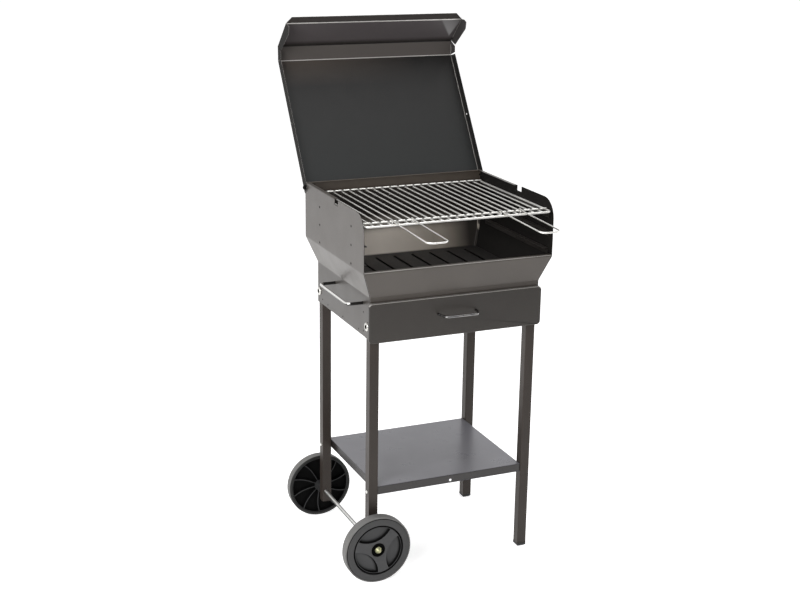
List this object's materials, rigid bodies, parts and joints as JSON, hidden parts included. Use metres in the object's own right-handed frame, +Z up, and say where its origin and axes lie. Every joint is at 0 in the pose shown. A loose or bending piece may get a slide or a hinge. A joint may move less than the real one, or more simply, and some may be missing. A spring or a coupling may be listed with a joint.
{
  "type": "charcoal barbecue",
  "caption": "Sheet-steel charcoal barbecue on square legs and wheels, with an open folded lid, wire cooking grid, ash drawer and lower shelf.",
  "frame": {"origin": "on the floor, under the middle of the whole outline as seen from above, lid open", "axes": "+X to the right along the front, +Y to the back, +Z up; the wheels are on the left"},
  "size_m": [0.578, 0.8224, 1.3762],
  "materials": {
    "body_paint": "metallic grey-brown powder coat with a fine grain",
    "drawer_paint": "dark grey-brown powder coat, satin",
    "leg_paint": "dark grey-brown powder coat, satin",
    "shelf_paint": "grey-brown powder coat, satin",
    "rail_paint": "dark powder coat, satin",
    "lid_paint": "dark grey heat-resistant paint, satin",
    "grate_paint": "black heat-resistant paint, matt",
    "chrome_wire": "bright plated steel wire",
    "dark_chrome": "dark bright-plated steel rod",
    "zinc": "bright zinc plating",
    "yellow_zinc": "pale yellow passivated zinc",
    "blackened_screw": "blackened steel",
    "foot_plastic": "black moulded plastic",
    "wheel_plastic": "dark grey moulded plastic"
  },
  "bodies": {
    "frame": {"side_panel_left": "body_paint", "side_panel_right": "body_paint", "back_panel": "body_paint", "front_sheet": "body_paint", "leg_front_left": "leg_paint", "leg_back_left": "leg_paint", "leg_front_right": "leg_paint", "leg_back_right": "leg_paint", "foot_front_right": "foot_plastic", "foot_back_right": "foot_plastic", "shelf": "shelf_paint", "axle": "zinc", "hub_cap_front": "yellow_zinc", "hub_cap_back": "yellow_zinc", "carrying_handle": "dark_chrome", "leg_bolt_front_left": "zinc", "leg_bolt_front_right": "zinc", "leg_bolt_back_left": "zinc", "leg_bolt_back_right": "zinc", "shelf_screw_front_left": "zinc", "shelf_screw_front_right": "zinc", "shelf_screw_back_left": "zinc", "shelf_screw_back_right": "zinc", "back_screw_left_1": "blackened_screw", "back_screw_left_2": "blackened_screw", "back_screw_right_1": "blackened_screw", "back_screw_right_2": "blackened_screw", "hinge_bolt_left": "blackened_screw", "hinge_bolt_right": "blackened_screw", "hinge_nut_left": "zinc", "hinge_nut_right": "zinc", "rail_left_1": "rail_paint", "rail_left_2": "rail_paint", "rail_left_3": "rail_paint", "rail_right_1": "rail_paint", "rail_right_2": "rail_paint", "rail_right_3": "rail_paint"},
    "lid": {"lid": "lid_paint"},
    "drawer": {"drawer_front": "drawer_paint", "drawer_tray": "drawer_paint", "drawer_pull": "dark_chrome"},
    "grid": {"cooking_grid": "chrome_wire"},
    "grid_handle_left": {"grid_handle_left": "chrome_wire"},
    "grid_handle_right": {"grid_handle_right": "chrome_wire"},
    "grate": {"charcoal_grate": "grate_paint"},
    "wheel_front": {"wheel_front": "wheel_plastic"},
    "wheel_back": {"wheel_back": "wheel_plastic"}
  },
  "joints": [
    {"name": "lid_hinge", "type": "hinge", "parent": "frame", "child": "lid", "pos_m": [0.02235, 0.19067, 0.948], "axis": [1, 0, 0], "range_deg": [0, 110]},
    {"name": "drawer_slide", "type": "slide", "parent": "frame", "child": "drawer", "axis": [0, -1, 0], "range_m": [0, 0.25]},
    {"name": "grid_slide", "type": "slide", "parent": "frame", "child": "grid", "axis": [0, -1, 0], "range_m": [0, 0.12]},
    {"name": "grid_handle_left_fold", "type": "hinge", "parent": "grid", "child": "grid_handle_left", "pos_m": [-0.12505, -0.19283, 0.9345], "axis": [-1, 0, 0], "range_deg": [0, 180]},
    {"name": "grid_handle_right_fold", "type": "hinge", "parent": "grid", "child": "grid_handle_right", "pos_m": [0.16975, -0.19283, 0.9345], "axis": [-1, 0, 0], "range_deg": [0, 180]},
    {"name": "grate_lift", "type": "slide", "parent": "frame", "child": "grate", "axis": [0, 0, 1], "range_m": [0, 0.15]},
    {"name": "wheel_front_spin", "type": "hinge", "parent": "frame", "child": "wheel_front", "pos_m": [-0.19915, -0.23083, 0.09], "axis": [0, 1, 0], "continuous": true},
    {"name": "wheel_back_spin", "type": "hinge", "parent": "frame", "child": "wheel_back", "pos_m": [-0.19915, 0.20267, 0.09], "axis": [0, 1, 0], "continuous": true}
  ]
}
